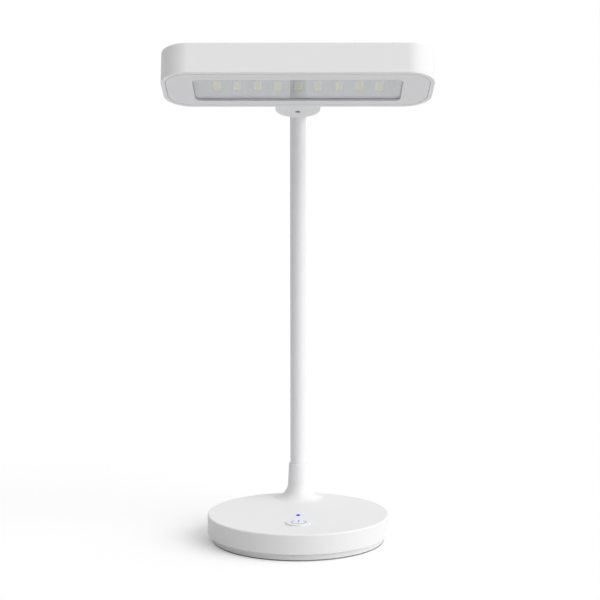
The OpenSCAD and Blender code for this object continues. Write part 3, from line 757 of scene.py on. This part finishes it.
def makeIndicator():
    # a light pipe whose flat head laps the edge of its hole
    p = indicatorShape
    r, head = dotHigh.x, p["head"]
    top, under = baseTop + p["rise"], baseTop + p["lapGap"]
    path = roundedPath(((r / 2, top, 0), (head, top, p["edge"]), (head, under, 0), (r, under, 0),
                        (r, dotLow.z, p["hiddenEdge"]), (r / 2, dotLow.z, 0)), False)
    settle(turned(path, dotSpot, steps=smallSteps), "indicatorWindow", indicatorBlue, "stand",
           ("indicator_lens",))


makeButton()
makePowerMark()
makeIndicator()
print("button, sign and indicator made")


# Charging socket

tongueShape = {"width": 6.7, "thick": 0.7, "back": 1.2, "edge": 0.1, "corner": 0.15}
contactShape = {"count": 12, "pitch": 0.5, "width": 0.26, "thick": 0.06, "corner": 0.02, "length": 3.6,
                "bevel": 0.02, "bevelFrom": 0.4, "bevelTo": 0.35}


def makeSocket():
    p, t, c = usbShape, tongueShape, contactShape
    w, h, wall = p["width"], p["height"], p["wall"]
    front = -p["sink"]
    back = front - p["depth"]
    path = roundedPath(((0, back, 0), (0, front, p["edge"]), (wall, front, p["edge"]), (wall, back + wall, 0)),
                       False, steps=4)
    shell = skin(rectStack(path, w, h, h / 2 - p["endFlat"], steps=slotSteps))
    settle(shell, "chargeSocket", plainSteel, "stand", ("usb_socket",), portPlace)
    tip = front - t["back"]
    path = ((0, back + wall), (0, tip - t["edge"]), (t["edge"], tip))
    blade = skin(rectStack(path, t["width"], t["thick"], t["corner"], steps=6))
    settle(blade, "chargeTongue", switchBlack, "stand", (), portPlace)
    path = ((0, tip - c["length"]), (0, tip - c["bevelFrom"]), (c["bevel"], tip - c["bevelTo"]))
    strips = [skin(rectStack(path, c["width"], c["thick"], c["corner"], (0, side * t["thick"] / 2), steps=3))
              for side in (1, -1)]
    row = repeat(joined(strips), copiesInRow, contactGold, Count=c["count"], Pitch=c["pitch"])
    settle(row, "chargeContacts", contactGold, "stand", (), portPlace)


makeSocket()
print("charging socket made")


# Pole and hinge

poleShape = {"wall": 1.0, "edge": 0.35}
knuckleShape = {"barrelRound": 5.5, "edge": 0.5, "pinGap": 0.05, "wayRound": 2.0, "plugRound": 5.0,
                "stemGap": 0.05}
pinShape = {"edge": 0.4}
washerShape = {"play": 0.03, "edge": 0.15}
pinLow, pinHigh = boxOf("hinge_pin")
pinRound = (pinHigh.z - pinLow.z) / 2
knuckleLow, knuckleHigh = boxOf("hinge_knuckle")


def makePole():
    bore = poleRound - poleShape["wall"]
    edge = poleShape["edge"]
    path = roundedPath(((poleRound, poleLow.z, edge), (poleRound, poleHigh.z, edge), (bore, poleHigh.z, 0),
                        (bore, poleLow.z, 0)))
    settle(turned(path, poleSpot, True), "poleTube", poleWhite, "stand", ("pole",))


def hingeBar(radius, reach, edge, steps):
    # a round bar along the hinge's axis, with rounded ends
    path = roundedPath(((radius / 2, -reach, 0), (radius, -reach, edge), (radius, reach, edge),
                        (radius / 2, reach, 0)), False)
    return turnedAcross(path, hingeSpot, steps=steps)


def makeKnuckle():
    p = knuckleShape
    wide = knuckleHigh.x
    neck = wide - p["stemGap"]
    stem = turned(((p["plugRound"], knuckleLow.z), (p["plugRound"], poleHigh.z), (neck, poleHigh.z),
                   (neck, hingeSpot.z)), poleSpot)
    carve(stem, [hingeBar(p["barrelRound"], wide, p["edge"], smallSteps * 2)], "UNION")
    hole = pinRound + p["pinGap"]
    pinWay = turnedAcross(((hole, -wide - over), (hole, wide + over)), hingeSpot)
    leadWay = turned(((p["wayRound"], knuckleLow.z - over), (p["wayRound"], poleHigh.z)), poleSpot,
                     steps=smallSteps)
    carve(stem, [joined([pinWay, leadWay])], "DIFFERENCE")
    settle(stem, "hingeKnuckle", shellWhite, "stand", ("hinge_knuckle",))


def makePin():
    pin = hingeBar(pinRound, pinHigh.x, pinShape["edge"], smallSteps)
    settle(pin, "hingePin", plainSteel, "head", ("hinge_pin",))


def makeFrictionWashers():
    low, high = boxOf("hinge_washers")
    outer = (high.z - low.z) / 2
    play, edge = washerShape["play"], washerShape["edge"]
    bore = pinRound + play
    discs = []
    for a, b in ((knuckleHigh.x, high.x), (low.x, knuckleLow.x)):
        path = roundedPath(((bore, a + play, 0), (outer, a + play, edge), (outer, b - play, edge),
                            (bore, b - play, 0)))
        discs.append(turnedAcross(path, hingeSpot, True))
    settle(joined(discs), "frictionWashers", frictionGrey, "head", ("hinge_washers",))


makePole()
makeKnuckle()
makePin()
makeFrictionWashers()
print("pole and hinge made")


# Light bar

barShape = {"corner": 19.8, "edge": 0.5, "lowEdge": 0.2, "wall": 2.4, "roof": 2.0, "roofRound": 0.6, "rim": 2.9,
            "ledgeWide": 2.1, "ledgeThick": 1.8, "rimEdge": 0.2}
earShape = {"top": 13.0, "edge": 0.9, "topRing": 4.0, "screwBack": 17.6, "screwDeep": 4.0}
windowShape = {"width": 145.0, "depth": 37.4, "corner": 4.0, "back": 11.0, "edge": 0.35, "sink": 1.1, "gap": 0.1,
               "play": 0.02, "lensEdge": 0.15}
ledShape = {"count": 9, "pitch": 14.1, "across": 0.35, "front": 2.2, "width": 5.4, "length": 15.4, "corner": 0.35,
            "gap": 0.15, "rim": 0.8, "edge": 0.15, "rimEdge": 0.1, "cupLean": 0.15}
barLow, barHigh = headBox("head_shell")
panelLow, panelHigh = headBox("head_bezel")
lensLow, lensHigh = headBox("window_lens")
sheetLow, sheetHigh = headBox("lens_frame")
boardLow, boardHigh = headBox("led_board")
packLow, packHigh = headBox("led_packages")
glowLow, glowHigh = headBox("led_phosphor")
coverLow, coverHigh = headBox("ear_cover")
barWide = barHigh.x - barLow.x
panelInset = barHigh.x - panelHigh.x
barDeep = panelHigh.y - panelLow.y + 2 * panelInset
barMiddle = (0, (panelHigh.y + panelLow.y) / 2)
barRear = panelHigh.y + panelInset
insideRear = barRear - barShape["wall"] / 2
underside = panelLow.z
windowMiddle = (0, barRear - windowShape["back"] - windowShape["depth"] / 2)
windowLap = (lensHigh.x - lensLow.x - windowShape["width"]) / 2
ledMiddle = (ledShape["across"], (packLow.y + packHigh.y) / 2 - ledShape["front"])
earScrewSpot = (0, barRear + earShape["screwBack"])
lugShape = {"inner": 6.8, "thick": 3.5, "edge": 0.6, "innerEdge": 0.2}


def lugLoop(x, inset, height):
    # side view of a lug: a bar from inside the housing to a round end about the hinge
    r = height / 2 - inset
    loop = [(x, insideRear, -r)]
    for k in range(archSteps + 1):
        angle = -math.pi / 2 + math.pi * k / archSteps
        loop.append((x, r * math.cos(angle), r * math.sin(angle)))
    loop.append((x, insideRear, r))
    return loop


def makeBar():
    p, e, lug = barShape, earShape, lugShape
    top = barHigh.z
    roofLow = top - p["roof"]
    ledgeLow = panelHigh.z
    ledgeTop = ledgeLow + p["ledgeThick"]
    ledgeIn = p["rim"] + p["ledgeWide"]
    path = roundedPath(((inward, roofLow, 0), (p["wall"], roofLow, p["roofRound"]), (p["wall"], ledgeTop, 0),
                        (ledgeIn, ledgeTop, 0), (ledgeIn, ledgeLow, 0), (p["rim"], ledgeLow, 0),
                        (p["rim"], underside, p["rimEdge"]), (0, underside, p["lowEdge"]), (0, top, p["edge"]),
                        (inward, top, 0)), False)
    housing = skin(rectStack(path[1:-1], barWide, barDeep, p["corner"], barMiddle))
    earTop = underside + e["top"]
    ear = roundedPath(((0, coverHigh.z, 0), (0, earTop, e["edge"]), (e["topRing"], earTop, 0)), False)
    earBody = skin([tonguePlan(coverHigh.x * 2, insideRear - inset, coverHigh.y, inset, z) for inset, z in ear])
    height = 2 * knuckleShape["barrelRound"]
    near = lug["inner"]
    far = near + lug["thick"]
    soft = roundedPath(((inward, near, 0), (0, near, lug["innerEdge"]), (0, far, lug["edge"]), (inward, far, 0)),
                       False)
    lugs = [skin([lugLoop(side * x, inset, height) for inset, x in soft[1:-1]]) for side in (1, -1)]
    carve(housing, [earBody] + lugs, "UNION")
    pinWay = turnedAcross(((pinRound, -far - over), (pinRound, far + over)))
    shank = earScrewShape["shank"]
    screwWay = turned(((shank, coverHigh.z - over), (shank, coverHigh.z + e["screwDeep"])), earScrewSpot,
                      steps=smallSteps)
    carve(housing, [joined([pinWay, screwWay])], "DIFFERENCE")
    settle(housing, "lightBarShell", shellWhite, "head", ("head_shell",), headPlace)


panelShape = {"groove": 0.7, "grooveDeep": 0.5, "edge": 0.2, "shelfRound": 0.05, "stepRound": 0.1}


def makePanel():
    p, w = panelShape, windowShape
    low, high = panelLow.z, panelHigh.z
    step = barShape["rim"] + p["groove"] - panelInset      # the flange fills the foot of the groove
    shelf = low + p["grooveDeep"]
    outer = roundedPath(((0, high, 0), (0, shelf, p["shelfRound"]), (step, shelf, p["stepRound"]),
                         (step, low, p["edge"]), (inward, low, 0)), False)
    inner = roundedPath(((inward, low, 0), (0, low, w["edge"]), (0, high, 0)), False)
    wide = panelHigh.x - panelLow.x
    deep = panelHigh.y - panelLow.y
    rings = rectStack(outer[:-1], wide, deep, barShape["corner"] - panelInset, barMiddle)
    rings += rectStack([(-inset, z) for inset, z in inner[1:]], w["width"], w["depth"], w["corner"], windowMiddle)
    settle(skin(rings, True), "lightBarPanel", panelWhite, "head", ("head_bezel",), headPlace)


def windowStack(path):
    # the window, the sheet and the board share one outline
    return skin(rectStack(path, lensHigh.x - lensLow.x, lensHigh.y - lensLow.y, windowShape["corner"] + windowLap,
                          (0, (lensLow.y + lensHigh.y) / 2)))


def ledRow(path, material, gap=0, soften=0):
    # what goes round one LED, repeated along the bar
    p = ledShape
    one = skin(rectStack(path, p["width"] + 2 * gap, p["length"] + 2 * gap, p["corner"] + soften, ledMiddle,
                         ledSteps))
    return repeat(one, copiesInRow, material, Count=p["count"], Pitch=p["pitch"])


def makeWindow():
    p = windowShape
    low, high = lensLow.z + p["play"], lensHigh.z - p["play"]      # clear of the panel and of the sheet
    step, edge = windowLap + p["gap"], p["lensEdge"]
    front = underside + p["sink"]      # the clear field stands forward in the panel's opening
    path = roundedPath(((step + inward, front, 0), (step, front, edge), (step, low, 0), (0, low, edge),
                        (0, high, edge), (inward, high, 0)), False, steps=3)
    settle(windowStack(path[1:-1]), "clearWindow", clearWindow, "head", ("window_lens",), headPlace)


sheetShape = {"edge": 0.1, "openingEdge": 0.15}


def makeSheet():
    # white sheet behind the window, with an opening for each LED
    edge, soft = sheetShape["edge"], sheetShape["openingEdge"]
    low, high = sheetLow.z, sheetHigh.z
    sheet = windowStack(((edge, low), (0, low + edge), (0, high)))
    path = ((0, high + over), (0, low + soft), (-soft, low), (-soft, low - over))
    carve(sheet, [ledRow(path, sheetWhite, gap=ledShape["gap"])], "DIFFERENCE")
    settle(sheet, "reflectorSheet", sheetWhite, "head", ("lens_frame",), headPlace)


boardShape = {"edge": 0.1}


def makeLedBoard():
    edge = boardShape["edge"]
    low, high = boardLow.z, boardHigh.z
    path = roundedPath(((inward, low, 0), (0, low, edge), (0, high, edge), (inward, high, 0)), False, steps=2)
    settle(windowStack(path[1:-1]), "ledBoard", boardWhite, "head", ("led_board",), headPlace)


# the pillow's rings: in from the cup's rim, up from the face
phosphorShape = {"sink": 0.12, "soften": 0.6, "foot": 0.2, "pillow": ((0.1, 0.06), (0.35, 0), (1.2, 0.04))}


def makeLeds():
    p, g = ledShape, phosphorShape
    rim, low, high, shelf = p["rim"], packLow.z, packHigh.z, glowHigh.z
    path = roundedPath(((rim * 2, high, 0), (0, high, 0), (0, low, p["edge"]), (rim, low, p["rimEdge"]),
                        (rim + p["cupLean"], shelf, 0), (rim * 2, shelf, 0)), False, steps=3)
    settle(ledRow(path[1:-1], ledBody), "ledPackages", ledBody, "head", ("led_packages",), headPlace)

    # the phosphor is a shallow pillow cast into the cup
    face = glowLow.z + g["sink"]
    path = [(rim + g["foot"], shelf)] + [(rim + inset, face + up) for inset, up in g["pillow"]]
    settle(ledRow(path, phosphorCoat, soften=g["soften"]), "ledPhosphor", phosphorCoat, "head",
           ("led_phosphor",), headPlace)


coverShape = {"edge": 0.25, "seamEdge": 0.1, "holeRound": 2.0, "holeLip": 0.1, "lipSteps": 4, "sink": 0.8,
              "shankGap": 0.1}
earScrewShape = {"headRise": 1.0, "shank": 1.0, "edge": 0.3, "seatEdge": 0.1, "tip": 0.3, "slotWide": 0.55,
                 "slotLong": 2.1, "slotDeep": 0.6, "slotTaper": 0.12}
earSeat = coverLow.z + coverShape["sink"] + earScrewShape["headRise"]


def makeEarCover():
    p = coverShape
    low, high = coverLow.z, coverHigh.z
    soft = roundedPath(((inward, low, 0), (0, low, p["edge"]), (0, high, p["seamEdge"]), (inward, high, 0)), False)
    cover = skin([tonguePlan(coverHigh.x * 2, barRear - inset, coverHigh.y, inset, z) for inset, z in soft[1:-1]])
    radius, lip = p["holeRound"], p["holeLip"]
    hole = [(radius + lip, low - over), (radius + lip, low)]
    for k in range(1, p["lipSteps"] + 1):
        angle = math.pi / 2 * k / p["lipSteps"]
        hole.append((radius + lip * (1 - math.sin(angle)), low + lip * (1 - math.cos(angle))))
    way = earScrewShape["shank"] + p["shankGap"]
    hole += [(radius, earSeat), (way, earSeat), (way, high + over)]
    carve(cover, [turned(hole, earScrewSpot, steps=smallSteps)], "DIFFERENCE")
    settle(cover, "earCover", shellWhite, "head", ("ear_cover",), headPlace)


def makeEarScrew():
    low, high = headBox("ear_screw")
    screw = makeScrew(earScrewShape, high.x, low.z, earSeat, high.z)
    screw.data.transform(Matrix.Translation((*earScrewSpot, 0)))
    settle(screw, "earScrew", darkSteel, "head", ("ear_screw",), headPlace)


makeBar()
makePanel()
makeWindow()
makeSheet()
makeLedBoard()
makeLeds()
makeEarCover()
makeEarScrew()
print("light bar made")


# Inner CAD pieces keep their solids and get a finish

innerFinish = {"ballast": ballastIron, "battery": cellFoil, "control_board": boardGreen,
               "tact_switch": switchBlack, "switch_plunger": switchBlack, "indicator_led": ledBody,
               "usb_board": boardGreen, "pole_nipple": brassTurned, "pole_washer": plainSteel,
               "pole_nut": brassTurned, "lead_wire": leadGrey}
for nodeName, finish in innerFinish.items():
    mesh = nodes[nodeName].data
    mesh.materials.clear()
    mesh.materials.append(finish)
print("inner pieces finished")


# Stage: floor, light and camera

stage = {"floorReach": 6.0, "floorBounce": 0.715, "floorSeen": 0.98, "floorLift": 0.102, "overhead": 0.866,
         "side": 0.628, "keyStrength": 1.4, "keySpread": 55, "keyFrom": (0.75, -0.433, 0.5)}
# painted contact shadow: the floor's colour darkens under the foot
paintedContactShadow = {"spot": (0.2, -2.3, 0), "from": 61.1, "to": 62.7, "tone": 0.3}
cameraSet = {"spot": (1.44, -1011.06, 261.3), "pitch": 4.904, "roll": -0.04, "lens": 84.445, "sensor": 36}


def seenDirectly(tree):
    # 1 for rays from the camera, from a mirror or through glass
    path = tree.nodes.new("ShaderNodeLightPath")
    both = mathNode(tree, "MAXIMUM", path.outputs["Is Camera Ray"], path.outputs["Is Glossy Ray"])
    return mathNode(tree, "MAXIMUM", both, path.outputs["Is Transmission Ray"])


def floorMaterial():
    material = bpy.data.materials.new("paleFloor")
    material.use_nodes = True
    tree = material.node_tree
    tree.nodes.clear()
    link = tree.links.new
    matte = tree.nodes.new("ShaderNodeBsdfDiffuse")
    lift = tree.nodes.new("ShaderNodeEmission")
    both = tree.nodes.new("ShaderNodeAddShader")
    out = tree.nodes.new("ShaderNodeOutputMaterial")
    place = tree.nodes.new("ShaderNodeTexCoord")
    reachOut = tree.nodes.new("ShaderNodeVectorMath")
    reachOut.operation = "DISTANCE"
    reachOut.inputs[1].default_value = Vector(paintedContactShadow["spot"]) * mm
    fade = setInputs(tree.nodes.new("ShaderNodeMapRange"),
                     {"From Min": paintedContactShadow["from"] * mm, "From Max": paintedContactShadow["to"] * mm})
    link(place.outputs["Object"], reachOut.inputs[0])
    link(reachOut.outputs["Value"], fade.inputs["Value"])
    seen = seenDirectly(tree)
    # the painted shadow under the foot is only seen: the light thrown back keeps its level
    clear = mathNode(tree, "MAXIMUM", fade.outputs["Result"], mathNode(tree, "SUBTRACT", 1.0, seen))
    level = mathNode(tree, "MULTIPLY", clear, stage["floorLift"])
    link(mathNode(tree, "MULTIPLY", seen, level), lift.inputs["Strength"])
    # a paler tone where the floor is seen than where it only throws light back
    paler = mathNode(tree, "MULTIPLY", seen, stage["floorSeen"] - stage["floorBounce"])
    tone = mathNode(tree, "ADD", paler, stage["floorBounce"])
    # painted shadow: the floor's colour falls to the shadow's tone under the foot
    near = mathNode(tree, "MULTIPLY", clear, 1 - paintedContactShadow["tone"])
    near = mathNode(tree, "ADD", near, paintedContactShadow["tone"])
    link(mathNode(tree, "MULTIPLY", tone, near), matte.inputs["Color"])
    link(matte.outputs[0], both.inputs[0])
    link(lift.outputs[0], both.inputs[1])
    link(both.outputs[0], out.inputs["Surface"])
    return material


def makeFloor():
    bm = bmesh.new()
    bmesh.ops.create_grid(bm, x_segments=2, y_segments=2, size=stage["floorReach"])
    mesh = bpy.data.meshes.new("floor")
    bm.to_mesh(mesh)
    bm.free()
    mesh.materials.append(floorMaterial())
    floor = bpy.data.objects.new("floor", mesh)
    bpy.context.scene.collection.objects.link(floor)


def makeWorld():
    world = bpy.data.worlds.new("studio")
    bpy.context.scene.world = world
    world.use_nodes = True
    tree = world.node_tree
    sky = tree.nodes["Background"]
    setInputs(sky, {"Color": (1, 1, 1, 1)})
    seen = seenDirectly(tree)
    place = tree.nodes.new("ShaderNodeTexCoord")
    way = tree.nodes.new("ShaderNodeSeparateXYZ")
    tree.links.new(place.outputs["Generated"], way.inputs[0])
    soft = [mathNode(tree, "MULTIPLY", mathNode(tree, "MAXIMUM", way.outputs[axis], 0.0), stage[side])
            for axis, side in (("Z", "overhead"), ("X", "side"))]      # light from above and from the right
    rest = mathNode(tree, "MULTIPLY", mathNode(tree, "SUBTRACT", 1.0, seen), mathNode(tree, "ADD", *soft))
    tree.links.new(mathNode(tree, "ADD", seen, rest), sky.inputs["Strength"])


def makeKeyLight():
    # one broad light from the right, so wide that its shadow stays soft
    light = bpy.data.lights.new("keyLight", "SUN")
    light.energy = stage["keyStrength"]
    light.angle = math.radians(stage["keySpread"])
    lamp = bpy.data.objects.new("keyLight", light)
    way = Vector(stage["keyFrom"])
    lamp.location = way.normalized()
    lamp.rotation_euler = (-way).to_track_quat("-Z", "Y").to_euler()
    bpy.context.scene.collection.objects.link(lamp)


def makeCamera():
    view = bpy.data.cameras.new("photoView")
    view.sensor_width = cameraSet["sensor"]
    view.lens = cameraSet["lens"]
    camera = bpy.data.objects.new("photoView", view)
    camera.location = Vector(cameraSet["spot"]) * mm
    look = Matrix.Rotation(math.pi / 2 - math.radians(cameraSet["pitch"]), 3, "X")
    camera.rotation_euler = (look @ Matrix.Rotation(math.radians(cameraSet["roll"]), 3, "Z")).to_euler()
    bpy.context.scene.collection.objects.link(camera)
    bpy.context.scene.camera = camera


makeFloor()
makeWorld()
makeKeyLight()
makeCamera()
bpy.context.scene.view_settings.view_transform = "Standard"
print("stage set")
